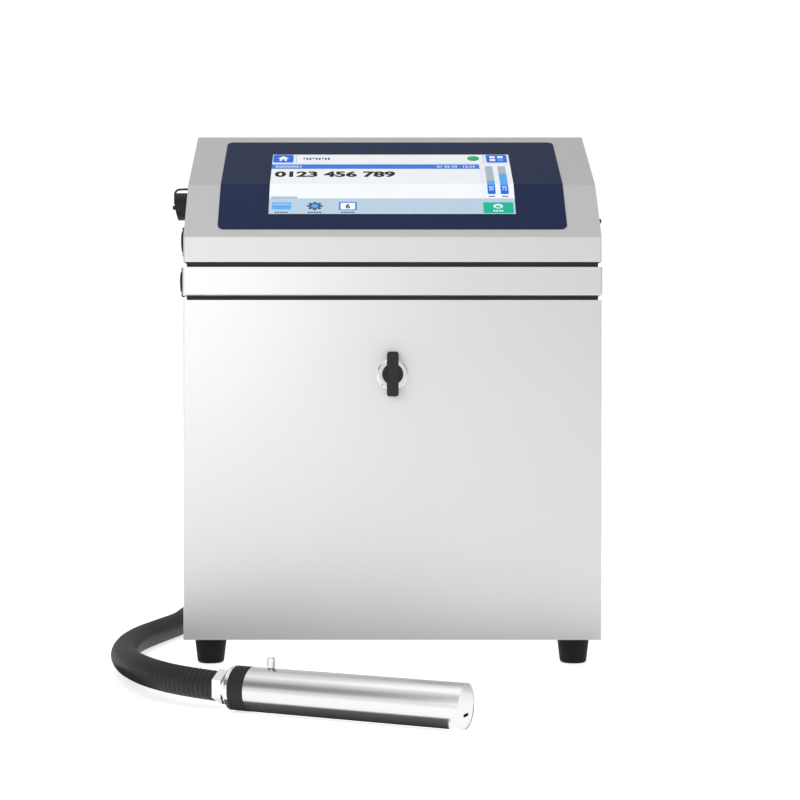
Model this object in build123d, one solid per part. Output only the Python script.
from build123d import *
import math
import os

# Continuous inkjet date coder: a steel cabinet with a drop-down door, a lift-up
# control head, and a cylindrical printhead on a corrugated conduit.
# Millimetres. +X is right seen from the front, +Y is back, +Z is up.
# The origin is on the floor, below the middle of the door's outer face.

# ---------------------------------------------------------------- driving sizes
WIDTH = 400.0              # cabinet, side to side
DEPTH = 300.0              # cabinet, front to back
SHEET = 1.5                # steel sheet
FOOT_HEIGHT = 25.4
BODY_HEIGHT = 326.1        # lower cabinet
LOW_GROOVE = 3.8           # seal between lower cabinet and collar
COLLAR_HEIGHT = 27.3
TOP_GROOVE = 4.8           # seal between collar and control head
FLANGE_HEIGHT = 24.3       # upright front edge of the control head
LOWER_FACET = (45.0, 55.3)     # back and up, from the flange to the bend
UPPER_FACET = (101.0, 62.5)    # back and up, from the bend to the roof
COLLAR_PROUD = 1.0         # how far the collar stands out at each side

GAP = 0.3                  # between pieces that move past each other
RUNNING = 0.05             # radial, a shaft in its hole
OVER = 1.0                 # how far a cutting shape passes the face it cuts

SEAL_INSET = 3.0           # how deep the seals sit in their grooves
SEAL_WIDTH = 15.0
SHELF_FLANGE = 18.0        # folded edges that carry seals and decks

# door
DOOR_DEPTH = 17.5
DOOR_LIP = 20.0
DOOR_TOP_GAP = 0.5
DOOR_BOTTOM_GAP = 0.6
FRAME_FACE = 20.0          # front of the door frame
FRAME_SHEET = 2.0
OPENING_SIDE = 28.0        # door frame's stiles
OPENING_LOW = 20.6         # its bottom rail, above the cabinet's underside
OPENING_HIGH = 322.0       # underside of its top rail, above the floor
GASKET_WIDTH = 10.0
HINGE_X = 140.0
HINGE_PIN_R = 2.5
HINGE_PIVOT = (12.0, 31.0)     # Y, Z
LUG_WIDTH = 8.0
EAR_WIDTH = 4.0
EYE_R = 4.5
NOTCH_WIDTH = 36.0
NOTCH_FRONT = 6.0
LATCH_Z = 280.0
LATCH_RING_R = 14.8
LATCH_BARREL_R = 9.4
LATCH_SHAFT_R = 4.0
KNOB_HUB_R = 10.0
KNOB_OUT = 18.0
WING = (11.0, 42.5)
CAM_REACH = 48.0
CAM_THICK = 2.5

# feet
FOOT_X = 176.5
FOOT_INSET = 32.0
FOOT_TOP_R = 15.75
FOOT_LOW_R = 12.7
FOOT_EDGE = 3.0
FOOT_SCREW_R = 3.0

# control panel
OVERLAY_HALF = 168.0
OVERLAY_FROM = 9.5         # along the facets, above the flange
OVERLAY_TO = 175.1
OVERLAY_THICK = 0.6
OVERLAY_CORNER = 6.0
SCREEN_HALF = 120.0
SCREEN_FROM = 29.1
SCREEN_TO = 142.9
GLASS_THICK = 1.0
GLASS_GAP = 0.2
LCD = (244.0, 118.0, 8.0)
LCD_DROP = 4.0             # front of the display behind the folded sheet

# sockets on the left, as (Y, Z)
USB_AT = (60.0, 447.0)
USB_R = 10.0
USB_CAP_R = 13.5
USB_CAP_OUT = 13.7
UPPER_SOCKET_AT = (28.0, 409.0)
LOWER_SOCKET_AT = (28.0, 370.0)
SOCKET_FLANGE_R = 10.6
SOCKET_BODY_R = 8.0
PLUG_R = 5.0
PLUG_LENGTH = 6.0
CAP_R = 11.4
BUTTON_AT = (100.0, 437.0)
BUTTON_R = 2.3
BUTTON_OUT = 13.7
BUTTON_TRAVEL = 2.0

# printhead, lying on the floor
PRINTHEAD_R = 18.25
PRINTHEAD_FACE = (51.6, -306.0)    # X, Y of the end face
PRINTHEAD_AIM = (0.907, -0.420)    # from the conduit to the end face
COVER_LENGTH = 188.0
COVER_WALL = 1.2
RING_LENGTH = 14.3
CAP_LENGTH = 8.7
CAP_CHAMFER = 5.5
NUT_LENGTH = 8.2
NUT_ACROSS = 25.0
SCREW_AT = 170.6           # thumb screw, behind the end face
SCREW_HEAD_R = 3.2
SCREW_HEAD = 8.4
BOSS_LENGTH = 28.0

# conduit
CONDUIT_R = 12.5
GLAND_AT = (132.0, 95.0)   # X, Z on the rear panel
GLAND_OUT = 22.0
COIL_CENTRE = (0.0, 477.0)
COIL_R = 132.0
COIL_PITCH = 25.0
COIL_TURNS = 2.386
FRONT_ROUTE = [
    (-147.0, -214.0, 18.25), (-179.0, -199.2, 20.0), (-204.5, -175.0, 21.5),
    (-223.5, -141.0, 21.2), (-242.0, -86.0, 19.0), (-256.5, -10.0, 16.0),
    (-259.0, 88.0, 12.8), (-241.0, 166.0, 12.5), (-226.0, 222.0, 12.5),
    (-224.0, 285.0, 12.5), (-212.0, 354.0, 12.5), (-192.0, 420.0, 12.5),
    (-153.0, 502.0, 12.5), (-99.8, 563.4, 12.5),
]
REAR_ROUTE = [
    (132.0, 477.0, 72.2), (132.0, 430.0, 75.0), (132.0, 372.0, 92.5),
    (132.0, 322.0, 95.0),
]

# ---------------------------------------------------------------- worked out
HALF = WIDTH / 2
INSIDE = HALF - SHEET
FLOOR_PLATE = FOOT_HEIGHT
BODY_TOP = FLOOR_PLATE + BODY_HEIGHT
COLLAR_LOW = BODY_TOP + LOW_GROOVE
COLLAR_TOP = COLLAR_LOW + COLLAR_HEIGHT
HEAD_LOW = COLLAR_TOP + TOP_GROOVE
FLANGE_TOP = HEAD_LOW + FLANGE_HEIGHT
BEND = (LOWER_FACET[0], FLANGE_TOP + LOWER_FACET[1])
ROOF_FRONT = (BEND[0] + UPPER_FACET[0], BEND[1] + UPPER_FACET[1])
ROOF = ROOF_FRONT[1]
DECK_Z = COLLAR_LOW + SHEET

parts = {}


# ---------------------------------------------------------------- small helpers
def block(x0, x1, y0, y1, z0, z1):
    """A block between two corners."""
    return Pos((x0 + x1) / 2, (y0 + y1) / 2, (z0 + z1) / 2) * Box(x1 - x0, y1 - y0, z1 - z0)


def rod(start, along, length, radius):
    """A round bar from a point, along a direction."""
    place = Plane(origin=start, z_dir=along)
    return place * Cylinder(radius, length, align=(Align.CENTER, Align.CENTER, Align.MIN))


def hexagon(start, along, length, across):
    """A hexagonal bar from a point, along a direction."""
    place = Plane(origin=start, z_dir=along)
    return extrude(place * RegularPolygon(across / 2, 6, major_radius=False), length)


def side_profile(points, x0, x1):
    """A Y-Z outline carried from x0 to x1."""
    outline = Plane.YZ * make_face(Polyline(*points, close=True))
    return Pos(x0, 0, 0) * extrude(outline, x1 - x0)


def ring_frame(half, y0, y1, z0, z1, width):
    """A rectangular ring lying flat."""
    outer = block(-half, half, y0, y1, z0, z1)
    return outer - block(-half + width, half - width, y0 + width, y1 - width, z0 - OVER, z1 + OVER)


def group(pieces):
    """Separate solids kept together in one node."""
    return Compound(children=[solid for piece in pieces for solid in piece.solids()])


def tube_along(path, radius):
    """A round tube or strap swept along a path of straight runs and arcs."""
    section = Plane(origin=path @ 0, z_dir=path % 0) * Circle(radius)
    return sweep(section, path=path)


# ---------------------------------------------------------------- lower cabinet
PAN_TOP = FLOOR_PLATE + FRAME_SHEET
PAN_LIP = 15.0
FOOT_RECESS = 9.0
FOOT_RECESS_R = 6.0
SCREW_HEAD_RADIUS = 5.5
SCREW_PAST_NUT = 2.0
FOOT_SCREW_HEAD = 4.0
FOOT_NUT = (5.0, 10.0)         # height, across flats
FOOT_SPOTS = [(sx * FOOT_X, y) for sx in (-1, 1) for y in (FOOT_INSET, DEPTH - FOOT_INSET)]


def base_pan():
    """Folded tray that closes the cabinet below and takes the feet."""
    pan = block(-INSIDE, INSIDE, FRAME_FACE, DEPTH - SHEET, FLOOR_PLATE, PAN_TOP)
    for side in (-1, 1):
        edge = sorted((side * INSIDE, side * (INSIDE - SHEET)))
        pan += block(*edge, FRAME_FACE + FRAME_SHEET, DEPTH - 2 * SHEET, PAN_TOP, PAN_TOP + PAN_LIP)
    for x, y in FOOT_SPOTS:
        pan -= rod((x, y, FLOOR_PLATE - OVER), (0, 0, 1), FRAME_SHEET + 2 * OVER, FOOT_SCREW_R)
    return pan


def side_panel(side):
    """Side sheet with a folded top edge, notched where the rear panel's fold passes."""
    wall = sorted((side * HALF, side * INSIDE))
    fold = sorted((side * INSIDE, side * (HALF - SHELF_FLANGE)))
    panel = block(*wall, FRAME_FACE, DEPTH, FLOOR_PLATE, BODY_TOP)
    panel += block(*fold, FRAME_FACE + FRAME_SHEET, DEPTH - SHEET, BODY_TOP - SHEET, BODY_TOP)
    return panel


LOUVRE = (20.0, 8.0, 3.0)      # X of the first slot, pitch, width
LOUVRE_Z = (270.0, 310.0)
LOUVRE_COUNT = 16
REAR_CUT = 5.0                 # how far a cutting shape passes the rear panel


def louvre_slots():
    """Upright slots cut through the rear panel."""
    first, pitch, width = LOUVRE
    cuts = []
    for step in range(LOUVRE_COUNT):
        x0 = first + step * pitch
        cuts.append(block(x0, x0 + width, DEPTH - REAR_CUT, DEPTH + REAR_CUT, *LOUVRE_Z))
    return cuts


FAN_AT = (-110.0, 270.0)       # X, Z
FAN_SIZE = 80.0
FAN_DEPTH = 25.0
FAN_SCREW_OFFSET = 35.75
FAN_SCREW_R = 2.0
FAN_RIM = 2.0                  # between the fan's bore and its flat sides
INLET_AT = (-120.0, 70.0)
INLET_OPENING = (27.4, 20.0)
SWITCH_AT = (-165.0, 70.0)
SWITCH_OPENING = (19.4, 13.0)
GLAND_THREAD_R = 12.0
GLAND_BORE_R = 9.5
REAR_INNER = DEPTH - SHEET


def rear_panel():
    """Back sheet with its fan, inlet, switch and gland openings, and exhaust slots."""
    panel = block(-INSIDE, INSIDE, REAR_INNER, DEPTH, FLOOR_PLATE, BODY_TOP)
    front = DEPTH - REAR_CUT
    panel -= rod((FAN_AT[0], front, FAN_AT[1]), (0, 1, 0), 2 * REAR_CUT, FAN_SIZE / 2 - FAN_RIM)
    for sx in (-1, 1):
        for sz in (-1, 1):
            spot = (FAN_AT[0] + sx * FAN_SCREW_OFFSET, front, FAN_AT[1] + sz * FAN_SCREW_OFFSET)
            panel -= rod(spot, (0, 1, 0), 2 * REAR_CUT, FAN_SCREW_R)
    for (x, z), (w, h) in ((INLET_AT, INLET_OPENING), (SWITCH_AT, SWITCH_OPENING)):
        panel -= block(x - w / 2, x + w / 2, front, DEPTH + REAR_CUT, z - h / 2, z + h / 2)
    panel -= rod((GLAND_AT[0], front, GLAND_AT[1]), (0, 1, 0), 2 * REAR_CUT, GLAND_THREAD_R)
    for slot in louvre_slots():
        panel -= slot
    return panel


def front_frame():
    """Door frame: a plate with one large opening and a folded top edge."""
    frame = block(-INSIDE, INSIDE, FRAME_FACE, FRAME_FACE + FRAME_SHEET, PAN_TOP, BODY_TOP)
    half = HALF - OPENING_SIDE
    low = FLOOR_PLATE + OPENING_LOW
    frame -= block(-half, half, FRAME_FACE - OVER, FRAME_FACE + FRAME_SHEET + OVER, low, OPENING_HIGH)
    fold_half = HALF - SHELF_FLANGE
    fold_back = FRAME_FACE + SHELF_FLANGE
    frame += block(-fold_half, fold_half, FRAME_FACE, fold_back, BODY_TOP - SHEET, BODY_TOP)
    return frame


def foot(x, y):
    """Tapered rubber foot with a recess for its screw."""
    body = Pos(x, y, FLOOR_PLATE / 2) * Cone(FOOT_LOW_R, FOOT_TOP_R, FLOOR_PLATE)
    low_edge = body.edges().filter_by(GeomType.CIRCLE).sort_by(Axis.Z)[0]
    body = fillet(low_edge, FOOT_EDGE)
    body -= rod((x, y, -OVER), (0, 0, 1), FOOT_RECESS + OVER, FOOT_RECESS_R)
    return body - rod((x, y, 0), (0, 0, 1), FLOOR_PLATE + OVER, FOOT_SCREW_R)


def foot_screw(x, y):
    """Screw up through a foot into the pan, with its nut above."""
    screw = rod((x, y, FOOT_RECESS - FOOT_SCREW_HEAD), (0, 0, 1), FOOT_SCREW_HEAD, SCREW_HEAD_RADIUS)
    shank = PAN_TOP + FOOT_NUT[0] + SCREW_PAST_NUT - FOOT_RECESS
    return screw + rod((x, y, FOOT_RECESS), (0, 0, 1), shank, FOOT_SCREW_R)


def foot_nut(x, y):
    """Nut on top of the pan."""
    nut = hexagon((x, y, PAN_TOP), (0, 0, 1), *FOOT_NUT)
    return nut - rod((x, y, PAN_TOP - OVER), (0, 0, 1), FOOT_NUT[0] + 2 * OVER, FOOT_SCREW_R)


parts["base_pan"] = base_pan()
parts["side_panels"] = group([side_panel(side) for side in (-1, 1)])
parts["rear_panel"] = rear_panel()
parts["front_frame"] = front_frame()
parts["rubber_feet"] = group([foot(x, y) for x, y in FOOT_SPOTS])
parts["foot_screws"] = group([make(x, y) for x, y in FOOT_SPOTS for make in (foot_screw, foot_nut)])

# seals and collar
SEAL_LEVELS = ((BODY_TOP, COLLAR_LOW), (COLLAR_TOP, HEAD_LOW - GAP))
seals = [ring_frame(HALF - SEAL_INSET, SEAL_INSET, DEPTH - SEAL_INSET, low, high, SEAL_WIDTH)
         for low, high in SEAL_LEVELS]
parts["groove_seals"] = group(seals)


COLLAR_CORNER = 2.5
COLLAR_EDGE = 1.5


def collar_band():
    """Channel-section ring that joins the lower cabinet to the control head."""
    out = HALF + COLLAR_PROUD
    band = block(-out, out, 0, DEPTH, COLLAR_LOW, COLLAR_TOP)
    band = fillet(band.edges().filter_by(Axis.Z), COLLAR_CORNER)
    band = fillet(band.edges().group_by(Axis.Z)[0], COLLAR_EDGE)
    band -= block(-out + SHEET, out - SHEET, SHEET, DEPTH - SHEET, COLLAR_LOW + SHEET, COLLAR_TOP - SHEET)
    inner = HALF - SHELF_FLANGE
    low, high = COLLAR_LOW - OVER, COLLAR_TOP + OVER
    band -= block(-inner, inner, SHELF_FLANGE, DEPTH - SHELF_FLANGE, low, high)
    return band - rod((-out - OVER, *LOWER_SOCKET_AT), (1, 0, 0), SHEET + 2 * OVER, SOCKET_BODY_R)


parts["collar_band"] = collar_band()

CABLE_SLOT = ((120.0, 170.0), (250.0, 278.0))     # X, Y


def mid_deck():
    """Shelf between the ink bay and the electronics bay."""
    deck = block(-INSIDE, INSIDE, 2 * SHEET, DEPTH - 2 * SHEET, DECK_Z, DECK_Z + SHEET)
    return deck - block(*CABLE_SLOT[0], *CABLE_SLOT[1], DECK_Z - OVER, DECK_Z + SHEET + OVER)


parts["mid_deck"] = mid_deck()


# ---------------------------------------------------------------- door
PIVOT_Y, PIVOT_Z = HINGE_PIVOT
DOOR_LOW = FLOOR_PLATE + DOOR_BOTTOM_GAP
DOOR_HIGH = BODY_TOP - DOOR_TOP_GAP
LATCH_NUT = (5.0, 26.0)        # thickness, across flats
LATCH_RING_OUT = 3.0
BARREL_END = FRAME_FACE + FRAME_SHEET - GAP / 2
CAM_Y = BARREL_END + GAP
CAM_NUT = (3.0, 11.0)
WING_BASE = 4.5
HINGE_SPOTS = (-HINGE_X, HINGE_X)
DOOR_CORNER = 1.2
GASKET_SET_BACK = 8.0          # from the opening's edge
GASKET_LOW_WIDTH = 6.0
GASKET_OVER_EYE = 2.5
BRACKET_REACH = (2.0, 11.0)    # below and above the pivot
RING_EDGE = 1.2
HUB_BEHIND_WING = 2.0
WING_CORNER = 2.5
CAM_HALF = 7.0
CAM_EYE_R = 9.0
CAM_CORNER = 3.0
PAST_ALL = 60.0                # longer than anything it bores


def door_panel():
    """Folded steel pan, open at the back, with lips at the top and sides."""
    door = block(-HALF, HALF, 0, DOOR_DEPTH, DOOR_LOW, DOOR_HIGH)
    door = fillet(door.edges().filter_by(Axis.Z).group_by(Axis.Y)[0], DOOR_CORNER)
    inner_low = DOOR_LOW + SHEET
    inner_high = DOOR_HIGH - SHEET
    door -= block(-INSIDE, INSIDE, SHEET, DOOR_DEPTH - SHEET, inner_low, inner_high)
    lip = HALF - DOOR_LIP
    back = DOOR_DEPTH + OVER
    door -= block(-lip, lip, SHEET, back, inner_low, DOOR_HIGH - DOOR_LIP)
    for x in HINGE_SPOTS:
        half = NOTCH_WIDTH / 2
        door -= block(x - half, x + half, NOTCH_FRONT, back, DOOR_LOW - OVER, inner_low + OVER)
    door -= block(-INSIDE, INSIDE, SHEET, back, inner_low, PIVOT_Z + DOOR_LIP)
    return door - rod((0, -OVER, LATCH_Z), (0, 1, 0), SHEET + 2 * OVER, LATCH_BARREL_R)


def hinge_bracket(x):
    """Plate on the door frame with one forward lug for the hinge pin."""
    half = NOTCH_WIDTH / 2 - 2
    below, above = BRACKET_REACH
    bracket = block(x - half, x + half, FRAME_FACE - SHEET, FRAME_FACE, PIVOT_Z - below, PIVOT_Z + above)
    lug = block(x - LUG_WIDTH / 2, x + LUG_WIDTH / 2, PIVOT_Y, FRAME_FACE,
                PIVOT_Z - EYE_R, PIVOT_Z + EYE_R)
    eye = rod((x - LUG_WIDTH / 2, PIVOT_Y, PIVOT_Z), (1, 0, 0), LUG_WIDTH, EYE_R)
    bore = rod((x - LUG_WIDTH, PIVOT_Y, PIVOT_Z), (1, 0, 0), 2 * LUG_WIDTH, HINGE_PIN_R)
    return bracket + lug + eye - bore


def hinge_pin(x):
    """Pin pressed in the lug, with its ends in the door's ears."""
    length = LUG_WIDTH + 2 * (GAP + EAR_WIDTH) + 2
    return rod((x - length / 2, PIVOT_Y, PIVOT_Z), (1, 0, 0), length, HINGE_PIN_R)


def hinge_ear(x):
    """Ear welded inside the door skin, turning on the pin."""
    tab = block(x, x + EAR_WIDTH, SHEET, PIVOT_Y, DOOR_LOW + SHEET, PIVOT_Z + 3 * EYE_R)
    slope = side_profile([(PIVOT_Y + 1, PIVOT_Z + EYE_R), (SHEET, PIVOT_Z + 3 * EYE_R),
                          (SHEET, PIVOT_Z + 4 * EYE_R), (PIVOT_Y + 1, PIVOT_Z + 4 * EYE_R)],
                         x - 1, x + EAR_WIDTH + 1)
    ear = tab - slope + rod((x, PIVOT_Y, PIVOT_Z), (1, 0, 0), EAR_WIDTH, EYE_R)
    return ear - rod((x - 1, PIVOT_Y, PIVOT_Z), (1, 0, 0), EAR_WIDTH + 2, HINGE_PIN_R + RUNNING)


def ears():
    """The two ears at each hinge, one each side of the lug."""
    reach = LUG_WIDTH / 2 + GAP
    spots = []
    for x in HINGE_SPOTS:
        spots += [x + reach, x - reach - EAR_WIDTH]
    return [hinge_ear(x) for x in spots]


def door_gasket():
    """Rubber strip round the opening, on the face of the door frame."""
    outer = HALF - OPENING_SIDE + GASKET_SET_BACK + GASKET_WIDTH
    low = PIVOT_Z + EYE_R + GASKET_OVER_EYE
    high = OPENING_HIGH + GASKET_SET_BACK + GASKET_WIDTH
    ring = block(-outer, outer, DOOR_DEPTH + GAP, FRAME_FACE, low, high)
    inner = outer - GASKET_WIDTH
    front, back = DOOR_DEPTH - OVER, FRAME_FACE + OVER
    cut = block(-inner, inner, front, back, low + GASKET_LOW_WIDTH, high - GASKET_WIDTH)
    for x in HINGE_SPOTS:
        half = NOTCH_WIDTH / 2
        ring -= block(x - half, x + half, front, back, low - OVER, PIVOT_Z + BRACKET_REACH[1])
    return ring - cut


def latch_body():
    """Chrome ring in front of the door skin, with a barrel through it."""
    ring = rod((0, 0, LATCH_Z), (0, -1, 0), LATCH_RING_OUT, LATCH_RING_R)
    ring = chamfer(ring.edges().filter_by(GeomType.CIRCLE).sort_by(Axis.Y)[0], RING_EDGE)
    body = ring + rod((0, 0, LATCH_Z), (0, 1, 0), BARREL_END, LATCH_BARREL_R)
    return body - rod((0, -PAST_ALL / 2, LATCH_Z), (0, 1, 0), PAST_ALL, LATCH_SHAFT_R + RUNNING)


def latch_nut():
    """Hexagonal nut that holds the latch against the door skin."""
    nut = hexagon((0, SHEET, LATCH_Z), (0, 1, 0), *LATCH_NUT)
    return nut - rod((0, 0, LATCH_Z), (0, 1, 0), PAST_ALL, LATCH_BARREL_R)


def latch_knob():
    """Hub with a finger wing, and the shaft that carries the cam."""
    hub_back = -LATCH_RING_OUT - GAP
    hub = rod((0, hub_back, LATCH_Z), (0, -1, 0), KNOB_OUT + hub_back - HUB_BEHIND_WING, KNOB_HUB_R)
    width, height = WING
    wing = block(-width / 2, width / 2, -KNOB_OUT, hub_back - WING_BASE,
                 LATCH_Z - height / 2, LATCH_Z + height / 2)
    wing = fillet(wing.edges().filter_by(Axis.Y), WING_CORNER)
    shaft_end = CAM_Y + CAM_THICK + CAM_NUT[0]
    return hub + wing + rod((0, hub_back, LATCH_Z), (0, 1, 0), shaft_end - hub_back, LATCH_SHAFT_R)


def latch_cam():
    """Blade behind the door frame, clear of its top rail until the knob is turned."""
    blade = block(0, CAM_REACH, CAM_Y, CAM_Y + CAM_THICK, LATCH_Z - CAM_HALF, LATCH_Z + CAM_HALF)
    blade = fillet(blade.edges().filter_by(Axis.Y).group_by(Axis.X)[-1], CAM_CORNER)
    blade += rod((0, CAM_Y, LATCH_Z), (0, 1, 0), CAM_THICK, CAM_EYE_R)
    return blade - rod((0, 0, LATCH_Z), (0, 1, 0), PAST_ALL, LATCH_SHAFT_R)


def cam_nut():
    """Nut that holds the cam on the knob's shaft."""
    nut = hexagon((0, CAM_Y + CAM_THICK, LATCH_Z), (0, 1, 0), *CAM_NUT)
    return nut - rod((0, 0, LATCH_Z), (0, 1, 0), PAST_ALL, LATCH_SHAFT_R)


parts["door_panel"] = door_panel()
parts["door_hinge_brackets"] = group([make(x) for x in HINGE_SPOTS for make in (hinge_bracket, hinge_pin)])
parts["door_hinge_ears"] = group(ears())
parts["door_gasket"] = door_gasket()
parts["latch_body"] = group([latch_body(), latch_nut()])
parts["latch_knob"] = latch_knob()
parts["latch_cam"] = group([latch_cam(), cam_nut()])


# ---------------------------------------------------------------- control head
PROFILE = [(0, HEAD_LOW), (0, FLANGE_TOP), BEND, ROOF_FRONT, (DEPTH, ROOF), (DEPTH, HEAD_LOW)]
LOWER_LENGTH = math.hypot(*LOWER_FACET)
UPPER_LENGTH = math.hypot(*UPPER_FACET)
LOWER_DIR = (LOWER_FACET[0] / LOWER_LENGTH, LOWER_FACET[1] / LOWER_LENGTH)
UPPER_DIR = (UPPER_FACET[0] / UPPER_LENGTH, UPPER_FACET[1] / UPPER_LENGTH)


def on_facets(along, lift):
    """Y, Z of a point this far up the facets, and this far out from them."""
    if along <= LOWER_LENGTH:
        start, heading, reach = (0, FLANGE_TOP), LOWER_DIR, along
    else:
        start, heading, reach = BEND, UPPER_DIR, along - LOWER_LENGTH
    y = start[0] + heading[0] * reach - heading[1] * lift
    return y, start[1] + heading[1] * reach + heading[0] * lift


def over_bend(lift):
    """Y, Z of the bend line, moved out by lift from both facets."""
    mean = (LOWER_DIR[0] + UPPER_DIR[0], LOWER_DIR[1] + UPPER_DIR[1])
    share = lift / (1 + LOWER_DIR[0] * UPPER_DIR[0] + LOWER_DIR[1] * UPPER_DIR[1])
    return BEND[0] - mean[1] * share, BEND[1] + mean[0] * share


def facet_sheet(start, end, half, low, high):
    """A bent sheet on the facets, from start to end along them, between two lifts."""
    outline = [on_facets(start, low), over_bend(low), on_facets(end, low),
               on_facets(end, high), over_bend(high), on_facets(start, high)]
    return side_profile(outline, -half, half)


SCREEN_LOW = on_facets(SCREEN_FROM, 0)
SCREEN_HIGH = on_facets(SCREEN_TO, 0)
SCREEN_CHORD = math.dist(SCREEN_LOW, SCREEN_HIGH)
SCREEN_TILT = math.degrees(math.atan2(SCREEN_HIGH[1] - SCREEN_LOW[1], SCREEN_HIGH[0] - SCREEN_LOW[0]))
SCREEN_MIDDLE = ((SCREEN_LOW[0] + SCREEN_HIGH[0]) / 2, (SCREEN_LOW[1] + SCREEN_HIGH[1]) / 2)


def behind_screen(width, height, front, thick):
    """A block behind the screen, square to the line across the screen's two ends."""
    place = Plane(origin=(0, *SCREEN_MIDDLE), x_dir=(1, 0, 0),
                  z_dir=(0, -math.sin(math.radians(SCREEN_TILT)), math.cos(math.radians(SCREEN_TILT))))
    return place * Pos(0, 0, -front - thick / 2) * Box(width, height, thick)


CLOSE = 0.001                  # two lengths this near are the same
WINDOW_MARGIN = 5.0
RAIL_THICK = 2.0
RAIL_DEPTH = 20.0
BUTTON_SLEEVE = 1.2
HEAD_HINGE_PIVOT = (DEPTH + 5.0, HEAD_LOW - TOP_GROOVE / 2)
HEAD_HINGE_X = (-150.0, 150.0)
HEAD_HINGE_WIDTH = 60.0
HEAD_PIN_R = 2.0
HEAD_PIN_END = 1.0
HEAD_KNUCKLE_R = 4.2
LEAF = 2.0
LEAF_HEIGHT = 20.0
LEAF_FROM_KNUCKLE = 1.0
LEAF_LOW = 3.0                 # above the collar's lower edge
RAIL_REACH = (6.0, 2.0)        # past the screen's ends, at the rail's front and back


def head_cover():
    """Folded sheet over the top of the head, with a window for the display."""
    outline = Plane.YZ * make_face(Polyline(*PROFILE, close=True))
    hollow = Plane.YZ * make_face(offset(Polyline(*PROFILE, close=True), -SHEET, kind=Kind.INTERSECTION))
    cover = Pos(-INSIDE, 0, 0) * extrude(outline, 2 * INSIDE)
    bends = cover.edges().filter_by(Axis.X).group_by(Axis.Z)[1:]
    cover = fillet([edge for level in bends for edge in level], 2 * SHEET)
    room = Pos(-INSIDE - OVER, 0, 0) * extrude(hollow, 2 * INSIDE + 2 * OVER)
    inner_bends = room.edges().filter_by(Axis.X).group_by(Axis.Z)[1:]
    room = fillet([edge for level in inner_bends for edge in level], SHEET)
    cover -= room
    cover -= block(-HALF, HALF, SHEET, DEPTH - SHEET, HEAD_LOW - OVER, HEAD_LOW + 2 * SHEET)
    window = behind_screen(2 * (SCREEN_HALF - WINDOW_MARGIN), SCREEN_CHORD - 2 * WINDOW_MARGIN, -20, 40)
    return cover - window


def head_cheek(side):
    """Flat end plate of the head, with the sockets' or the button's hole."""
    x0, x1 = sorted((side * HALF, side * INSIDE))
    plate = side_profile(PROFILE, x0, x1)
    bends = plate.edges().filter_by(Axis.X).group_by(Axis.Z)[1:]
    plate = fillet([edge for level in bends for edge in level], 2 * SHEET)
    if side < 0:
        plate -= rod((x0 - OVER, *USB_AT), (1, 0, 0), SHEET + 2 * OVER, USB_R)
        plate -= rod((x0 - OVER, *UPPER_SOCKET_AT), (1, 0, 0), SHEET + 2 * OVER, SOCKET_BODY_R)
    else:
        hole = BUTTON_R + BUTTON_SLEEVE
        plate -= rod((x0 - OVER, *BUTTON_AT), (1, 0, 0), SHEET + 2 * OVER, hole)
    return plate


def display_rail(side):
    """Side rail that hangs the display from the folded sheet."""
    x = side * (LCD[0] / 2 + RAIL_THICK / 2)
    front, back = RAIL_REACH
    low = on_facets(SCREEN_FROM - front, -SHEET)
    high = on_facets(SCREEN_TO + front, -SHEET)
    back_low = on_facets(SCREEN_FROM - back, -SHEET - RAIL_DEPTH)
    back_high = on_facets(SCREEN_TO + back, -SHEET - RAIL_DEPTH)
    outline = [low, over_bend(-SHEET - GAP), high, back_high, back_low]
    return side_profile(outline, x - RAIL_THICK / 2, x + RAIL_THICK / 2)


BOARD = (200.0, 110.0, 1.6)
BOARD_AT = (0.0, 218.0)            # X, Y of its centre
BOARD_DROP = 18.0                  # below the roof sheet
BOARD_POST_R = 3.0
POST_INSET = (8.0, 6.0)            # from the board's edges
CHIPS = [(-60, 20, 30, 30, 3), (10, -15, 24, 24, 3), (60, 25, 18, 40, 5), (-20, 35, 14, 14, 2),
         (55, -30, 50, 12, 9), (-70, -35, 40, 12, 9)]
HEAT_SINK = (44.0, 44.0, 3.0, 14.0)    # sides, base, fins
FIN_COUNT = 8
FIN_THICK = 1.5
BOARD_TOP = ROOF - SHEET - BOARD_DROP


def main_board():
    """Circuit board under the roof, with its larger components below."""
    x, y = BOARD_AT
    board = Pos(x, y, BOARD_TOP - BOARD[2] / 2) * Box(*BOARD)
    for dx, dy, w, d, h in CHIPS:
        board += Pos(x + dx, y + dy, BOARD_TOP - BOARD[2] - h / 2) * Box(w, d, h)
    return board


def board_posts():
    """Threaded posts that hang the board from the roof sheet."""
    reach = (BOARD[0] / 2 - POST_INSET[0], BOARD[1] / 2 - POST_INSET[1])
    posts = []
    for sx in (-1, 1):
        for sy in (-1, 1):
            foot_at = (BOARD_AT[0] + sx * reach[0], BOARD_AT[1] + sy * reach[1], BOARD_TOP)
            posts.append(rod(foot_at, (0, 0, 1), BOARD_DROP, BOARD_POST_R))
    return posts


def heat_sink():
    """Finned block on the processor."""
    width, depth, base, fins = HEAT_SINK
    dx, dy = CHIPS[0][:2]
    top = BOARD_TOP - BOARD[2] - CHIPS[0][4]
    x, y = BOARD_AT[0] + dx, BOARD_AT[1] + dy
    sink = Pos(x, y, top - base / 2) * Box(width, depth, base)
    pitch = (width - FIN_THICK) / (FIN_COUNT - 1)
    for step in range(FIN_COUNT):
        fin_x = x - width / 2 + FIN_THICK / 2 + step * pitch
        sink += Pos(fin_x, y, top - base - fins / 2) * Box(FIN_THICK, depth, fins)
    return sink


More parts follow.
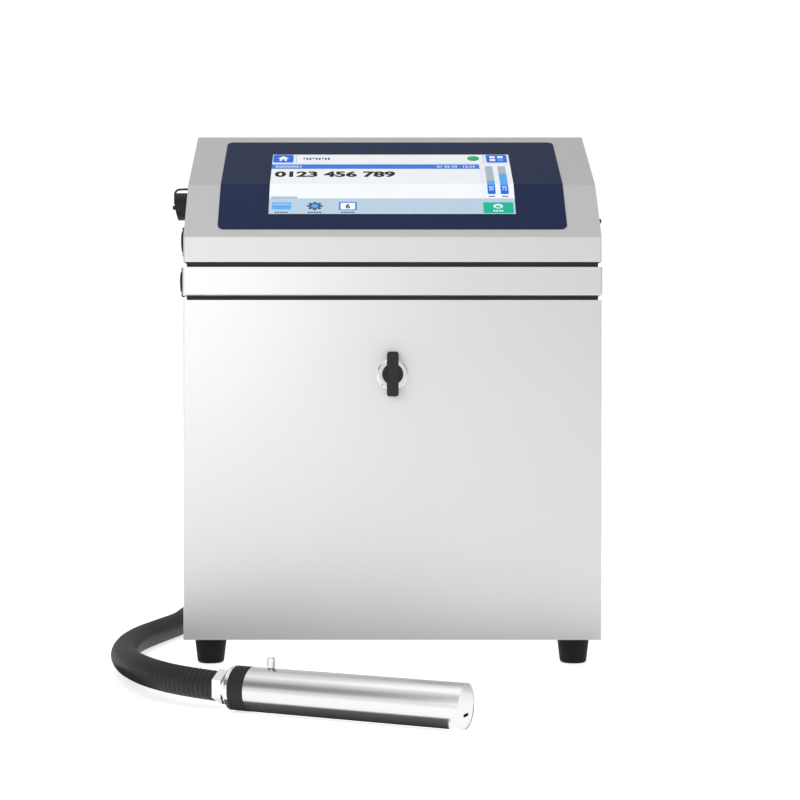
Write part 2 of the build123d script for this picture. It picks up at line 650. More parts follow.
def head_leaf(x):
    """Upper hinge leaf on the back of the head, with one long knuckle."""
    y, z = HEAD_HINGE_PIVOT
    third = HEAD_HINGE_WIDTH / 3
    back, high = DEPTH + LEAF, HEAD_LOW + LEAF_HEIGHT
    leaf = block(x - third / 2 + GAP, x + third / 2 - GAP, DEPTH, back, z + LEAF_FROM_KNUCKLE, high)
    leaf += block(x - HEAD_HINGE_WIDTH / 2, x + HEAD_HINGE_WIDTH / 2, DEPTH, back,
                  z + HEAD_KNUCKLE_R + LEAF_FROM_KNUCKLE, high)
    leaf += rod((x - third / 2 + GAP, y, z), (1, 0, 0), third - 2 * GAP, HEAD_KNUCKLE_R)
    return leaf - rod((x - third, y, z), (1, 0, 0), 2 * third, HEAD_PIN_R + RUNNING)


def collar_leaf(x):
    """Lower hinge leaf on the collar, with two outer knuckles."""
    y, z = HEAD_HINGE_PIVOT
    third = HEAD_HINGE_WIDTH / 3
    leaf = block(x - HEAD_HINGE_WIDTH / 2, x + HEAD_HINGE_WIDTH / 2, DEPTH, DEPTH + LEAF,
                 COLLAR_LOW + LEAF_LOW, z - HEAD_KNUCKLE_R - LEAF_FROM_KNUCKLE)
    for x0 in (x - HEAD_HINGE_WIDTH / 2, x + third / 2):
        leaf += block(x0, x0 + third, DEPTH, DEPTH + LEAF, COLLAR_LOW + LEAF_LOW, z)
        leaf += rod((x0, y, z), (1, 0, 0), third, HEAD_KNUCKLE_R)
    return leaf - rod((x - HEAD_HINGE_WIDTH, y, z), (1, 0, 0), 2 * HEAD_HINGE_WIDTH, HEAD_PIN_R)


def head_pin(x):
    """Hinge pin, tight in the collar's knuckles."""
    y, z = HEAD_HINGE_PIVOT
    start = x - HEAD_HINGE_WIDTH / 2 - HEAD_PIN_END
    return rod((start, y, z), (1, 0, 0), HEAD_HINGE_WIDTH + 2 * HEAD_PIN_END, HEAD_PIN_R)


parts["head_cover"] = head_cover()
parts["head_cheeks"] = group([head_cheek(side) for side in (-1, 1)])
overlay = facet_sheet(OVERLAY_FROM, OVERLAY_TO, OVERLAY_HALF, 0, OVERLAY_THICK)
corners = overlay.edges().filter_by(lambda edge: abs(edge.length - OVERLAY_THICK) < CLOSE)
overlay = fillet(corners, OVERLAY_CORNER)
screen_hole = facet_sheet(SCREEN_FROM, SCREEN_TO, SCREEN_HALF, -OVER, OVERLAY_THICK + OVER)
parts["panel_overlay"] = overlay - screen_hole
parts["touch_screen"] = facet_sheet(SCREEN_FROM + GLASS_GAP, SCREEN_TO - GLASS_GAP,
                                    SCREEN_HALF - GLASS_GAP, 0, GLASS_THICK)
parts["display_module"] = behind_screen(*LCD[:2], LCD_DROP, LCD[2])
parts["head_brackets"] = group([display_rail(side) for side in (-1, 1)] + board_posts())
parts["main_board"] = group([main_board(), heat_sink()])
parts["head_hinge_leaves"] = group([head_leaf(x) for x in HEAD_HINGE_X])
parts["collar_hinge_leaves"] = group([make(x) for x in HEAD_HINGE_X for make in (collar_leaf, head_pin)])


# ---------------------------------------------------------------- sockets and button
SOCKET_RIM = 2.0
SOCKET_DEPTH = 24.0
SOCKET_BORE = 16.0
USB_SLOT = (12.6, 5.2)
USB_SLOT_REACH = (20.0, 5.0)   # out past the nose, and in behind the cheek
USB_NOSE = 7.0
USB_RIM_R = 12.5
USB_CAP_TAPER = 2.5            # how much thinner the cap is at its lower edge
CAP_KNOB = (3.0, 2.0, 1.0)     # out, radius, below the cap's middle
STRAP_RISE = 3.5               # over the cap's top
STRAP_FOOT = 2.5               # above the cap's middle
STRAP_BEND = 5.0
CAP_EDGE = 2.4
BUSH_INSIDE = 4.0
BUSH_NUT = (2.0, 10.0)         # thickness, across flats
BUTTON_INSIDE = 6.0
CAP_DOME = 3.0
STRAP_R = 1.0
BUTTON_BUSH = 7.0
BUTTON_EDGE = 0.5


def usb_socket():
    """Round panel socket with a rectangular port in its nose."""
    face = -HALF
    nose = SOCKET_RIM + USB_NOSE
    body = rod((face - nose, *USB_AT), (1, 0, 0), nose + SOCKET_DEPTH, USB_R)
    body += rod((face - SOCKET_RIM, *USB_AT), (1, 0, 0), SOCKET_RIM, USB_RIM_R)
    y, z = USB_AT
    slot_y, slot_z = USB_SLOT
    return body - block(face - USB_SLOT_REACH[0], face + USB_SLOT_REACH[1],
                        y - slot_y / 2, y + slot_y / 2, z - slot_z / 2, z + slot_z / 2)


def usb_cap():
    """Hooded rubber cap over the port, thinner towards its lower edge."""
    start = -HALF - SOCKET_RIM - GAP
    end = -HALF - USB_CAP_OUT
    y, z = USB_AT
    cap = rod((end, y, z), (1, 0, 0), start - end, USB_CAP_R)
    low = z - USB_CAP_R
    slope = [(end - OVER, z), (end, z), (end + USB_CAP_TAPER, low), (end - OVER, low)]
    wedge = extrude(Plane.XZ * make_face(Polyline(*slope, close=True)), 2 * USB_CAP_R + 2 * OVER)
    cap -= Pos(0, y + USB_CAP_R + OVER, 0) * wedge
    out, radius, drop = CAP_KNOB
    cap += rod((end - out, y, z - drop), (1, 0, 0), out + OVER, radius)
    return cap - rod((start - USB_NOSE - GAP, y, z), (1, 0, 0), USB_NOSE + 2 * OVER, USB_R + GAP)


def usb_strap():
    """Strap from the cap's knob over its top to the head's end plate."""
    y, z = USB_AT
    out = -HALF - USB_CAP_OUT - STRAP_R
    top = z + USB_CAP_R + STRAP_RISE
    points = [(out, y, z + STRAP_FOOT), (out, y, top), (-HALF - 2 * GAP, y, top + STRAP_R / 2)]
    path = FilletPolyline(*points, radius=STRAP_BEND)
    return tube_along(path, STRAP_R)


def small_socket(face, at):
    """Round panel socket with a bore for its cap's plug."""
    body = rod((face - SOCKET_RIM / 2, *at), (1, 0, 0), SOCKET_RIM / 2 + SOCKET_DEPTH, SOCKET_BODY_R)
    body += rod((face - SOCKET_RIM / 2, *at), (1, 0, 0), SOCKET_RIM / 2, SOCKET_FLANGE_R)
    return body - rod((face - SOCKET_RIM, *at), (1, 0, 0), SOCKET_BORE, PLUG_R + RUNNING)


def small_cap(face, at):
    """Domed rubber cap with a plug that fits the socket."""
    back = face - SOCKET_RIM / 2 - GAP
    dome = rod((back - CAP_DOME, *at), (1, 0, 0), CAP_DOME, CAP_R)
    front_edge = dome.edges().filter_by(GeomType.CIRCLE).sort_by(Axis.X)[0]
    dome = fillet(front_edge, CAP_EDGE)
    return dome + rod((back, *at), (1, 0, 0), PLUG_LENGTH, PLUG_R)


def standby_bush():
    """Threaded bush that guides the standby button."""
    x = INSIDE - BUSH_INSIDE
    length = SHEET + BUSH_INSIDE + BUTTON_BUSH
    bush = rod((x, *BUTTON_AT), (1, 0, 0), length, BUTTON_R + BUTTON_SLEEVE)
    bush += hexagon((HALF, *BUTTON_AT), (1, 0, 0), *BUSH_NUT)
    return bush - rod((x - OVER, *BUTTON_AT), (1, 0, 0), length + 2 * OVER, BUTTON_R + RUNNING)


def standby_button():
    """Plunger pressed against its return spring."""
    start = INSIDE - BUTTON_INSIDE
    button = rod((start, *BUTTON_AT), (1, 0, 0), HALF + BUTTON_OUT - start, BUTTON_R)
    return chamfer(button.edges().filter_by(GeomType.CIRCLE).sort_by(Axis.X)[-1], BUTTON_EDGE)


COLLAR_FACE = -HALF - COLLAR_PROUD
parts["head_sockets"] = group([usb_socket(), small_socket(-HALF, UPPER_SOCKET_AT)])
parts["usb_cap"] = group([usb_cap(), usb_strap()])
parts["socket_cap_upper"] = small_cap(-HALF, UPPER_SOCKET_AT)
parts["socket_lower"] = small_socket(COLLAR_FACE, LOWER_SOCKET_AT)
parts["socket_cap_lower"] = small_cap(COLLAR_FACE, LOWER_SOCKET_AT)
parts["standby_bush"] = standby_bush()
parts["standby_button"] = standby_button()


# ---------------------------------------------------------------- rear fittings
FAN_HUB_R = 16.0
FAN_BLADES = 7
FAN_SHAFT_R = 1.5
FAN_SHAFT = 18.0
FAN_CORNER = 4.0
FAN_STRUT = (3.0, 4.0)         # thickness, width
FAN_TURN = 30.0                # of the struts, in degrees
ROTOR_LENGTH = 17.0
BLADE = (15.0, 1.6, 38.0)      # chord, thickness, pitch in degrees
BLADE_GAP = 3.5                # from its tip to the fan's flat side
GUARD_HUB_R = 12.0
GUARD_WIRE = 1.2
GUARD_RINGS = (22.0, 32.0)
INLET_DEPTH = 22.0
INLET_FLANGE = (48.0, 27.0, 2.5)
INLET_WALL = (2.0, 3.0)        # sides, base
INLET_PIN = (2.0, 4.0)
INLET_PINS = ((-7, -2), (0, 2), (7, -2))
SWITCH_DEPTH = 18.0
SWITCH_WALL = 1.5
SWITCH_RIM = 2.0
SWITCH_POCKET = 10.0
ROCKER_PIVOT_Y = DEPTH - 2.0
ROCKER_FACES = (4.0, 0.8, 1.6)     # back, low and high faces from the rear panel
ROCKER_PIVOT_R = 1.5
ROCKER_SWING = 10.0
ROCKER_SIDE_GAP = 1.5
SUPPLY = (160.0, 98.0, 42.0)
SUPPLY_AT = (-95.0, 215.0)         # X, Y of its centre
SUPPLY_SLOTS = (12, 12.0, 4.0, 10.0)   # count, pitch, width, from the lid's ends
HV_MODULE = (80.0, 60.0, 32.0)
HV_AT = (60.0, 215.0)
HV_TAB = (10.0, 8.0, 3.0)          # out, half its width, thickness
HV_STEM = (8.0, 5.0)               # height, radius
DECK_TOP = DECK_Z + SHEET


def fan_housing():
    """Square fan frame behind the rear panel, with its stator hub on three struts."""
    x, z = FAN_AT
    half = FAN_SIZE / 2
    front = REAR_INNER - FAN_DEPTH
    frame = block(x - half, x + half, front, REAR_INNER, z - half, z + half)
    frame = fillet(frame.edges().filter_by(Axis.Y), FAN_CORNER)
    frame -= rod((x, front - OVER, z), (0, 1, 0), FAN_DEPTH + 2 * OVER, half - FAN_RIM)
    thick, wide = FAN_STRUT
    hub = rod((x, front, z), (0, 1, 0), thick, FAN_HUB_R)
    strut = Pos(half / 2, 0, 0) * Box(half - OVER, thick, wide)
    for step in range(3):
        frame += Pos(x, front + thick / 2, z) * Rot(0, 120 * step + FAN_TURN, 0) * strut
    for sx in (-1, 1):
        for sz in (-1, 1):
            spot = (x + sx * FAN_SCREW_OFFSET, front - OVER, z + sz * FAN_SCREW_OFFSET)
            frame -= rod(spot, (0, 1, 0), FAN_DEPTH + 2 * OVER, FAN_SCREW_R)
    return frame + hub + rod((x, front, z), (0, 1, 0), FAN_SHAFT, FAN_SHAFT_R)


def fan_rotor():
    """Hub with blades, turning on the stator's spindle."""
    x, z = FAN_AT
    start = REAR_INNER - FAN_DEPTH + FAN_STRUT[0] + GAP
    rotor = rod((x, start, z), (0, 1, 0), ROTOR_LENGTH, FAN_HUB_R)
    reach = FAN_SIZE / 2 - BLADE_GAP
    chord, thick, pitch = BLADE
    blade = Pos((FAN_HUB_R + reach) / 2, 0, 0) * Rot(pitch, 0, 0) * Box(reach - FAN_HUB_R, chord, thick)
    for step in range(FAN_BLADES):
        rotor += Pos(x, start + ROTOR_LENGTH / 2, z) * Rot(0, 360 / FAN_BLADES * step, 0) * blade
    return rotor - rod((x, start - OVER, z), (0, 1, 0), ROTOR_LENGTH, FAN_SHAFT_R + RUNNING)


def fan_guard():
    """Wire guard outside the rear panel: rings on two crossing bars."""
    x, z = FAN_AT
    out = DEPTH + 2 * GUARD_WIRE
    guard = rod((x, out, z), (0, 1, 0), 2 * GUARD_WIRE, GUARD_HUB_R)
    for radius in GUARD_RINGS:
        ring = rod((x, out, z), (0, 1, 0), 2 * GUARD_WIRE, radius + GUARD_WIRE)
        guard += ring - rod((x, DEPTH, z), (0, 1, 0), 8 * GUARD_WIRE, radius - GUARD_WIRE)
    diagonal = FAN_SCREW_OFFSET * math.sqrt(2)
    for angle in (45, 135):
        bar = Box(2 * diagonal, 2 * GUARD_WIRE, 2 * GUARD_WIRE)
        guard += Pos(x, out, z) * Rot(0, angle, 0) * bar
    for sx in (-1, 1):
        for sz in (-1, 1):
            foot_at = (x + sx * FAN_SCREW_OFFSET, DEPTH, z + sz * FAN_SCREW_OFFSET)
            guard += rod(foot_at, (0, 1, 0), 4 * GUARD_WIRE, 2.5 * GUARD_WIRE)
            guard -= rod(foot_at, (0, 1, 0), 8 * GUARD_WIRE, FAN_SCREW_R)
    return guard


def power_inlet():
    """Three-pin mains inlet, flush in the rear panel."""
    x, z = INLET_AT
    w, h = INLET_OPENING
    inlet = block(x - w / 2, x + w / 2, DEPTH - INLET_DEPTH, DEPTH, z - h / 2, z + h / 2)
    fw, fh, ft = INLET_FLANGE
    inlet += block(x - fw / 2, x + fw / 2, DEPTH, DEPTH + ft, z - fh / 2, z + fh / 2)
    wall, base = INLET_WALL
    inlet -= block(x - w / 2 + wall, x + w / 2 - wall, DEPTH - INLET_DEPTH + base, DEPTH + REAR_CUT,
                   z - h / 2 + wall, z + h / 2 - wall)
    wide, tall = INLET_PIN
    for dx, dz in INLET_PINS:
        inlet += block(x + dx - wide / 2, x + dx + wide / 2, DEPTH - INLET_DEPTH + OVER, DEPTH - base,
                       z + dz - tall / 2, z + dz + tall / 2)
    return inlet


def power_switch():
    """Bezel and case of the mains switch."""
    x, z = SWITCH_AT
    w, h = SWITCH_OPENING
    case = block(x - w / 2, x + w / 2, DEPTH - SWITCH_DEPTH, DEPTH, z - h / 2, z + h / 2)
    wall = SWITCH_WALL
    case += block(x - w / 2 - wall, x + w / 2 + wall, DEPTH, DEPTH + SWITCH_RIM,
                  z - h / 2 - wall, z + h / 2 + wall)
    case -= block(x - w / 2 + wall, x + w / 2 - wall, DEPTH - SWITCH_POCKET, DEPTH + REAR_CUT,
                  z - h / 2 + wall, z + h / 2 - wall)
    return case + rod((x, ROCKER_PIVOT_Y, z - h / 2 + OVER), (0, 0, 1), h - 2 * OVER, ROCKER_PIVOT_R)


def power_rocker():
    """Rocker that tips about an upright pin."""
    x, z = SWITCH_AT
    w, h = SWITCH_OPENING
    half = w / 2 - SWITCH_WALL - ROCKER_SIDE_GAP
    tall = h / 2 - SWITCH_WALL - GAP
    rise = half * math.tan(math.radians(ROCKER_SWING))
    back, low, high = ROCKER_FACES
    outline = [(x - half, DEPTH - back), (x + half, DEPTH - back), (x + half, DEPTH + low),
               (x, DEPTH + high), (x - half, DEPTH + high + rise)]
    rocker = extrude(make_face(Polyline(*outline, close=True)), 2 * tall)
    rocker = Pos(0, 0, z - tall) * rocker
    return rocker - rod((x, ROCKER_PIVOT_Y, z - h), (0, 0, 1), 2 * h, ROCKER_PIVOT_R + RUNNING)


def power_supply():
    """Boxed power supply on the deck, with a slotted lid."""
    x, y = SUPPLY_AT
    w, d, h = SUPPLY
    top = DECK_TOP + h
    supply = block(x - w / 2, x + w / 2, y - d / 2, y + d / 2, DECK_TOP, top)
    count, pitch, wide, margin = SUPPLY_SLOTS
    for step in range(count):
        slot_x = x - w / 2 + pitch * (step + 1)
        supply -= block(slot_x, slot_x + wide, y - d / 2 + margin, y + d / 2 - margin,
                        top - OVER, top + OVER)
    return supply


def hv_module():
    """Potted high-voltage supply for the deflector plates, with its fixing tabs."""
    x, y = HV_AT
    w, d, h = HV_MODULE
    module = block(x - w / 2, x + w / 2, y - d / 2, y + d / 2, DECK_TOP, DECK_TOP + h)
    tab, half, thick = HV_TAB
    module += block(x - w / 2 - tab, x + w / 2 + tab, y - half, y + half, DECK_TOP, DECK_TOP + thick)
    return module + rod((x + w / 4, y, DECK_TOP + h), (0, 0, 1), *HV_STEM)


parts["fan_housing"] = fan_housing()
parts["fan_rotor"] = fan_rotor()
parts["fan_guard"] = fan_guard()
parts["power_inlet"] = group([power_inlet(), power_switch()])
parts["power_rocker"] = power_rocker()
parts["power_supply"] = power_supply()
parts["high_voltage_module"] = hv_module()


# ---------------------------------------------------------------- ink bay
TRAY = (-178.0, 48.0, 44.0, 196.0, 14.0)       # X from, to; Y from, to; height
TRAY_WALL = 1.5
TANK = (95.0, 130.0, 150.0)
TANK_Y = 120.0
TANK_XS = {"ink_tank": -122.0, "solvent_tank": -8.0}
TANK_WALL = 2.5
TANK_CORNER = 12.0
TANK_SHOULDER = 6.0
NECK_R = 18.0
NECK_HEIGHT = 14.0
TANK_CAP_R = 23.0
TANK_CAP_HEIGHT = 20.0
GRIP_RIBS = (18, 1.2, 3.0)         # count, radius, how much shorter than the cap
PUMP_AT = (120.0, 100.0)           # X, Z of the shaft
PUMP_FACE = 120.0                  # Y, front of the pump head
PUMP_HEAD = (56.0, 28.0, 56.0)
PUMP_MOTOR_R = 21.0
PUMP_MOTOR_LENGTH = 62.0
PUMP_CHAMBER = (20.0, 14.0)        # radius, depth
PUMP_SHAFT_R = 3.0
PUMP_WALL = 6.0                    # in front of the chamber
PUMP_CORNER = 5.0
PUMP_PORT = (12.0, 4.0)            # length, radius
PUMP_PORT_OFFSET = 16.0
PUMP_BRACKET = (40.0, 3.0)         # its foot, and its thickness
SHAFT_SHORT = 8.0                  # behind the shaft, inside the motor
VANE = 2.5
FILTER_AT = (70.0, 238.0)
FILTER_R = 25.0
FILTER_HEIGHT = 105.0
FILTER_CORNER = 4.0
FILTER_STEM = (14.0, 5.0)          # height, radius
FILTER_BAND = (0.8, 6.0, 2.0)      # how far up, height, how far out
MANIFOLD = (150.0, 30.0, 40.0)
MANIFOLD_AT = (95.0, 230.0)        # X, Z
VALVE_R = 9.0
VALVE_LENGTH = 32.0
VALVE_COUNT = 5


def drip_tray():
    """Shallow tray that stands on the base pan under the tanks."""
    x0, x1, y0, y1, height = TRAY
    tray = block(x0, x1, y0, y1, PAN_TOP, PAN_TOP + height)
    w = TRAY_WALL
    return tray - block(x0 + w, x1 - w, y0 + w, y1 - w, PAN_TOP + w, PAN_TOP + height + OVER)


TANK_FLOOR = PAN_TOP + TRAY_WALL
TANK_TOP = TANK_FLOOR + TANK[2]


def tank(x):
    """Blow-moulded tank with a round neck."""
    w, d, h = TANK
    middle = Pos(x, TANK_Y, TANK_FLOOR + h / 2)
    body = fillet((middle * Box(w, d, h)).edges().filter_by(Axis.Z), TANK_CORNER)
    body = fillet(body.edges().group_by(Axis.Z)[-1], TANK_SHOULDER)
    body += rod((x, TANK_Y, TANK_TOP), (0, 0, 1), NECK_HEIGHT, NECK_R)
    inner = middle * Box(w - 2 * TANK_WALL, d - 2 * TANK_WALL, h - 2 * TANK_WALL)
    inner = fillet(inner.edges().filter_by(Axis.Z), TANK_CORNER - TANK_WALL)
    neck = rod((x, TANK_Y, TANK_TOP - TANK_WALL - OVER), (0, 0, 1), 2 * NECK_HEIGHT, NECK_R - TANK_WALL)
    return body - inner - neck


def tank_cap(x):
    """Screw cap with grip ribs, a running fit on the neck."""
    low = TANK_TOP + GAP
    cap = rod((x, TANK_Y, low), (0, 0, 1), TANK_CAP_HEIGHT, TANK_CAP_R)
    count, radius, short = GRIP_RIBS
    for step in range(count):
        turn = 2 * math.pi / count * step
        spot = (x + TANK_CAP_R * math.cos(turn), TANK_Y + TANK_CAP_R * math.sin(turn), low)
        cap += rod(spot, (0, 0, 1), TANK_CAP_HEIGHT - short, radius)
    return cap - rod((x, TANK_Y, low - OVER), (0, 0, 1), NECK_HEIGHT + OVER, NECK_R + RUNNING)


def pump():
    """Pump head on a bracket, and the motor behind it."""
    x, z = PUMP_AT
    w, d, h = PUMP_HEAD
    radius, depth = PUMP_CHAMBER
    head = block(x - w / 2, x + w / 2, PUMP_FACE, PUMP_FACE + d, z - h / 2, z + h / 2)
    head = fillet(head.edges().filter_by(Axis.Y), PUMP_CORNER)
    head -= rod((x, PUMP_FACE + PUMP_WALL, z), (0, 1, 0), depth, radius)
    head -= rod((x, PUMP_FACE + PUMP_WALL, z), (0, 1, 0), d, PUMP_SHAFT_R + RUNNING)
    for dz in (-PUMP_PORT_OFFSET, PUMP_PORT_OFFSET):
        head += rod((x + w / 2, PUMP_FACE + d / 2, z + dz), (1, 0, 0), *PUMP_PORT)
    back = PUMP_FACE + d
    foot, thick = PUMP_BRACKET
    bracket = block(x - w / 2, x + w / 2, back, back + thick, PAN_TOP, z + h / 2)
    bracket += block(x - w / 2, x + w / 2, back, back + foot, PAN_TOP, PAN_TOP + thick)
    bracket -= rod((x, back - OVER, z), (0, 1, 0), thick + 2 * OVER, PUMP_SHAFT_R + OVER)
    motor = rod((x, back + thick, z), (0, 1, 0), PUMP_MOTOR_LENGTH, PUMP_MOTOR_R)
    bore = PUMP_MOTOR_LENGTH - 2 * thick
    motor -= rod((x, back + thick - OVER, z), (0, 1, 0), bore, PUMP_SHAFT_R + RUNNING)
    return [head, bracket, motor]


def pump_rotor():
    """Motor shaft with a six-vane rotor inside the pump chamber."""
    x, z = PUMP_AT
    radius, depth = PUMP_CHAMBER
    front = PUMP_FACE + PUMP_WALL + GAP
    length = PUMP_HEAD[1] - PUMP_WALL - GAP + PUMP_BRACKET[1] + PUMP_MOTOR_LENGTH - SHAFT_SHORT
    rotor = rod((x, front, z), (0, 1, 0), length, PUMP_SHAFT_R)
    rotor += rod((x, front, z), (0, 1, 0), depth - 2 * GAP, radius / 2)
    for step in range(3):
        vane = Pos(x, front + depth / 2 - GAP, z) * Rot(0, 60 * step, 0)
        rotor += vane * Box(2 * (radius - 2 * GAP), depth - 2 * GAP, VANE)
    return rotor


def ink_filter():
    """Upright filter cartridge with a hose stem on top."""
    x, y = FILTER_AT
    body = rod((x, y, PAN_TOP), (0, 0, 1), FILTER_HEIGHT, FILTER_R)
    body = fillet(body.edges().filter_by(GeomType.CIRCLE), FILTER_CORNER)
    body += rod((x, y, PAN_TOP + FILTER_HEIGHT), (0, 0, 1), *FILTER_STEM)
    share, tall, proud = FILTER_BAND
    return body + rod((x, y, PAN_TOP + FILTER_HEIGHT * share), (0, 0, 1), tall, FILTER_R + proud)


def manifold():
    """Valve block on the rear panel."""
    x, z = MANIFOLD_AT
    w, d, h = MANIFOLD
    return block(x - w / 2, x + w / 2, REAR_INNER - d, REAR_INNER, z - h / 2, z + h / 2)


def valves():
    """Solenoid valves along the front of the block."""
    x, z = MANIFOLD_AT
    w, d, h = MANIFOLD
    pitch = w / VALVE_COUNT
    spots = [x - w / 2 + pitch * (step + 0.5) for step in range(VALVE_COUNT)]
    return [rod((spot, REAR_INNER - d, z), (0, -1, 0), VALVE_LENGTH, VALVE_R) for spot in spots]


parts["drip_tray"] = drip_tray()
for name, x in TANK_XS.items():
    parts[name] = tank(x)
    parts[name + "_cap"] = tank_cap(x)
parts["ink_pump"] = group(pump())
parts["pump_rotor"] = pump_rotor()
parts["ink_filter"] = ink_filter()
parts["valve_manifold"] = group([manifold()] + valves())


# ---------------------------------------------------------------- printhead
# Its own frame: local z runs back from the end face, local x is up.
HEAD_PLANE = Plane(origin=(*PRINTHEAD_FACE, PRINTHEAD_R), x_dir=(0, 0, 1),
                   z_dir=(-PRINTHEAD_AIM[0], -PRINTHEAD_AIM[1], 0))
RING_FROM = COVER_LENGTH
CAP_FROM = RING_FROM + RING_LENGTH
NUT_FROM = CAP_FROM + CAP_LENGTH
NUT_END = NUT_FROM + NUT_LENGTH
COVER_BORE_R = PRINTHEAD_R - COVER_WALL
BOSS_R = COVER_BORE_R - GAP
SCREW_EDGE = 0.5
BOSS_FROM = COVER_LENGTH - BOSS_LENGTH
DECK_FROM = 14.0
DECK_HALF = 11.0
DECK_THICK = 3.0
DECK_UP = 4.0
DECK_FACE = DECK_UP - DECK_THICK / 2
NOZZLE_FROM = 112.0
END_PLATE = 2.0
PLATE_SET_BACK = 0.4
JET_SLOT = (10.0, 2.5)
JET_DROP = 6.6
JET_LINE = -JET_DROP               # local x of the stream
SCREW_SHANK_R = 1.6


def along(start, length, radius, up=0.0, across=0.0):
    """A round bar along the printhead's axis."""
    place = Align.CENTER, Align.CENTER, Align.MIN
    return HEAD_PLANE * (Pos(up, across, start) * Cylinder(radius, length, align=place))


def head_block(start, length, up, tall, wide, across=0.0):
    """A block in the printhead's frame, centred on up and across."""
    return HEAD_PLANE * (Pos(up, across, start + length / 2) * Box(tall, wide, length))


def rear_cap():
    """Chamfered cap behind the ring, with the conduit nut on it."""
    shape = along(CAP_FROM, CAP_LENGTH - CAP_CHAMFER, PRINTHEAD_R)
    small = PRINTHEAD_R - CAP_CHAMFER
    cone = Pos(0, 0, NUT_FROM - CAP_CHAMFER / 2) * Cone(PRINTHEAD_R, small, CAP_CHAMFER)
    outline = HEAD_PLANE * Pos(0, 0, NUT_FROM) * RegularPolygon(NUT_ACROSS / 2, 6, major_radius=False)
    nut = extrude(outline, NUT_LENGTH)
    return [shape + HEAD_PLANE * cone, nut]


def printhead_ring():
    """Black ring, with the boss that the cover slides over."""
    return along(RING_FROM, RING_LENGTH, PRINTHEAD_R) + along(BOSS_FROM, BOSS_LENGTH, BOSS_R)


def printhead_deck():
    """Long aluminium plate that carries the nozzle and electrodes."""
    return head_block(DECK_FROM, BOSS_FROM - DECK_FROM, DECK_UP, DECK_THICK, 2 * DECK_HALF)


def nozzle_block():
    """Drop generator under the deck, with its jewel nozzle facing the end face."""
    up = JET_LINE
    body = head_block(NOZZLE_FROM, 30, (DECK_FACE + up - 3) / 2, DECK_FACE - up + 3, 14)
    return body + along(NOZZLE_FROM - 5, 6, 2, up)


def electrodes():
    """Slotted charge electrode, then the two deflector plates each side of the stream."""
    charge = head_block(96, 8, (DECK_FACE + JET_LINE - 2.5) / 2, DECK_FACE - JET_LINE + 2.5, 9)
    charge -= head_block(95, 10, JET_LINE - 1.5, 5, 1.2)
    plates = [charge]
    for side in (-1, 1):
        tall = DECK_FACE - JET_LINE + 3
        plates.append(head_block(52, 34, DECK_FACE - tall / 2, tall, 1.5, side * 3.0))
    return plates


def gutter():
    """Catcher tube under the deck near the end face, returning unused drops."""
    post = head_block(22, 8, (DECK_FACE + JET_LINE - 2.4) / 2, DECK_FACE - JET_LINE + 2.4, 5)
    post += along(30, 10, 1.4, JET_LINE)
    return post - along(21, 25, 0.8, JET_LINE)


def printhead_cover():
    """Cover tube and the end plate pressed in its front, with the jet's slot."""
    tube = along(0, COVER_LENGTH - GAP, PRINTHEAD_R) - along(-OVER, COVER_LENGTH + 2 * OVER, COVER_BORE_R)
    x, y, z = screw_foot()
    tube -= rod((x, y, z - 2 * OVER), (0, 0, 1), 10 * OVER, SCREW_SHANK_R + RUNNING)
    plate = along(PLATE_SET_BACK, END_PLATE, COVER_BORE_R)
    plate -= head_block(-OVER, END_PLATE + 4 * OVER, JET_LINE, JET_SLOT[1], JET_SLOT[0])
    return [tube, plate]


def screw_foot():
    """Tip of the thumb screw, just above the boss."""
    spot = HEAD_PLANE.from_local_coords((BOSS_R + GAP, 0, SCREW_AT))
    return spot.X, spot.Y, spot.Z


def thumb_screw():
    """Captive thumb screw that pinches the cover on the boss."""
    x, y, z = screw_foot()
    top = 2 * PRINTHEAD_R + GAP
    screw = rod((x, y, z), (0, 0, 1), top - z, SCREW_SHANK_R)
    grip = rod((x, y, top), (0, 0, 1), SCREW_HEAD, SCREW_HEAD_R)
    return screw + chamfer(grip.edges().filter_by(GeomType.CIRCLE), SCREW_EDGE)


parts["printhead_rear_cap"] = group(rear_cap())
parts["printhead_ring"] = printhead_ring()
parts["printhead_deck"] = printhead_deck()
parts["nozzle_block"] = nozzle_block()
parts["jet_electrodes"] = group(electrodes())
parts["ink_gutter"] = gutter()
parts["printhead_cover"] = group(printhead_cover())
parts["cover_thumb_screw"] = thumb_screw()


# ---------------------------------------------------------------- conduit
GLAND_FLANGE = (8.0, 32.0)         # length, across flats
GLAND_NUT = (5.0, 32.0)
GLAND_WALL = 3.0
THREAD_PAST_NUT = 2.0
COIL_EDGE = 0.6                    # its rounding, as a part of the conduit's radius
BEND_SHARE = 0.45                  # part of the shorter run that an arc may use


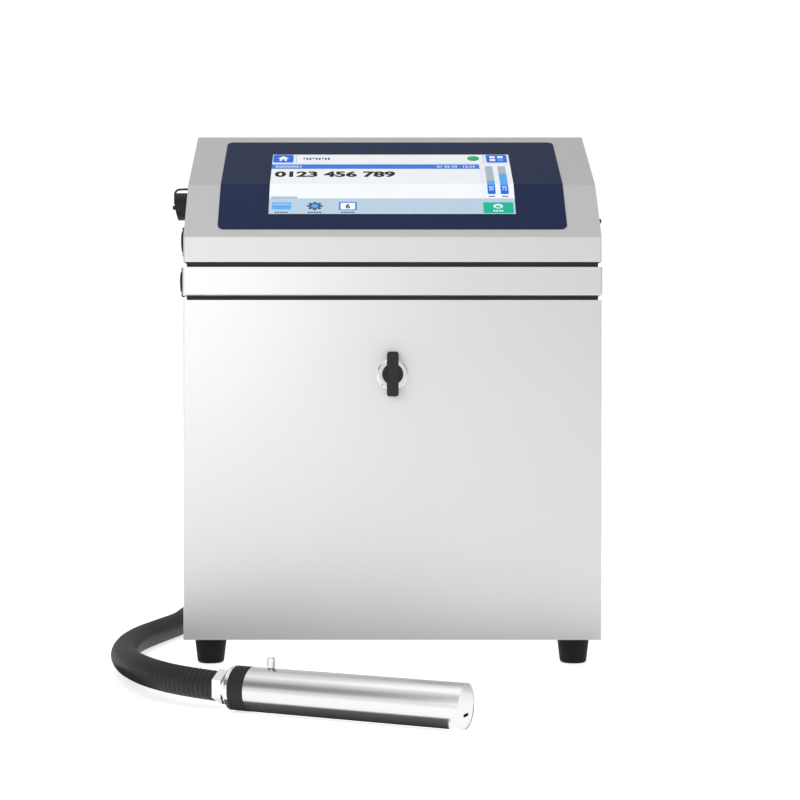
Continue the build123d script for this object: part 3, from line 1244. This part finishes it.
def gland():
    """Conduit gland through the rear panel, and the nut behind it."""
    x, z = GLAND_AT
    length, across = GLAND_FLANGE
    body = hexagon((x, DEPTH, z), (0, 1, 0), length, across)
    body += rod((x, DEPTH + length, z), (0, 1, 0), GLAND_OUT - length, CONDUIT_R + GLAND_WALL)
    thread_from = REAR_INNER - GLAND_NUT[0] - THREAD_PAST_NUT
    body += rod((x, thread_from, z), (0, 1, 0), DEPTH + OVER - thread_from, GLAND_THREAD_R)
    body -= rod((x, DEPTH - PAST_ALL / 2, z), (0, 1, 0), PAST_ALL, GLAND_BORE_R)
    nut = hexagon((x, REAR_INNER - GLAND_NUT[0], z), (0, 1, 0), *GLAND_NUT)
    nut -= rod((x, DEPTH - PAST_ALL / 2, z), (0, 1, 0), PAST_ALL, GLAND_THREAD_R)
    return [body, nut]


def route_radii(route):
    """The largest arc that the two runs at each corner leave room for."""
    points = [Vector(*point) for point in route]
    radii = []
    for before, corner, after in zip(points, points[1:], points[2:]):
        first, second = corner - before, after - corner
        half_turn = math.radians(first.get_angle(second)) / 2
        radii.append(BEND_SHARE * min(first.length, second.length) / math.tan(half_turn))
    return radii


def conduit_run(name, route):
    """Tube along a route of straight runs and arcs."""
    radii = route_radii(route)
    path = FilletPolyline(*route, radius=radii)
    tube = tube_along(path, CONDUIT_R)
    expected = math.pi * CONDUIT_R ** 2 * path.length
    print(name, "length", round(path.length, 1), "volume ratio", round(tube.volume / expected, 4))
    print("  radii", [round(radius) for radius in radii])
    return tube


def conduit_coil():
    """The put-away turns as one closed ring."""
    x, y = COIL_CENTRE
    height = 2 * CONDUIT_R + COIL_PITCH * COIL_TURNS
    ring = rod((x, y, 0), (0, 0, 1), height, COIL_R + CONDUIT_R)
    ring -= rod((x, y, -OVER), (0, 0, 1), height + 2 * OVER, COIL_R - CONDUIT_R)
    return fillet(ring.edges().filter_by(GeomType.CIRCLE), CONDUIT_R * COIL_EDGE)


parts["conduit_gland"] = group(gland())
parts["conduit_front_run"] = conduit_run("conduit_front_run", FRONT_ROUTE)
parts["conduit_coil"] = conduit_coil()
parts["conduit_rear_run"] = conduit_run("conduit_rear_run", REAR_ROUTE)

os.makedirs("parts", exist_ok=True)
for name, shape in parts.items():
    export_step(shape, f"parts/{name}.step")
print(len(parts), "parts")
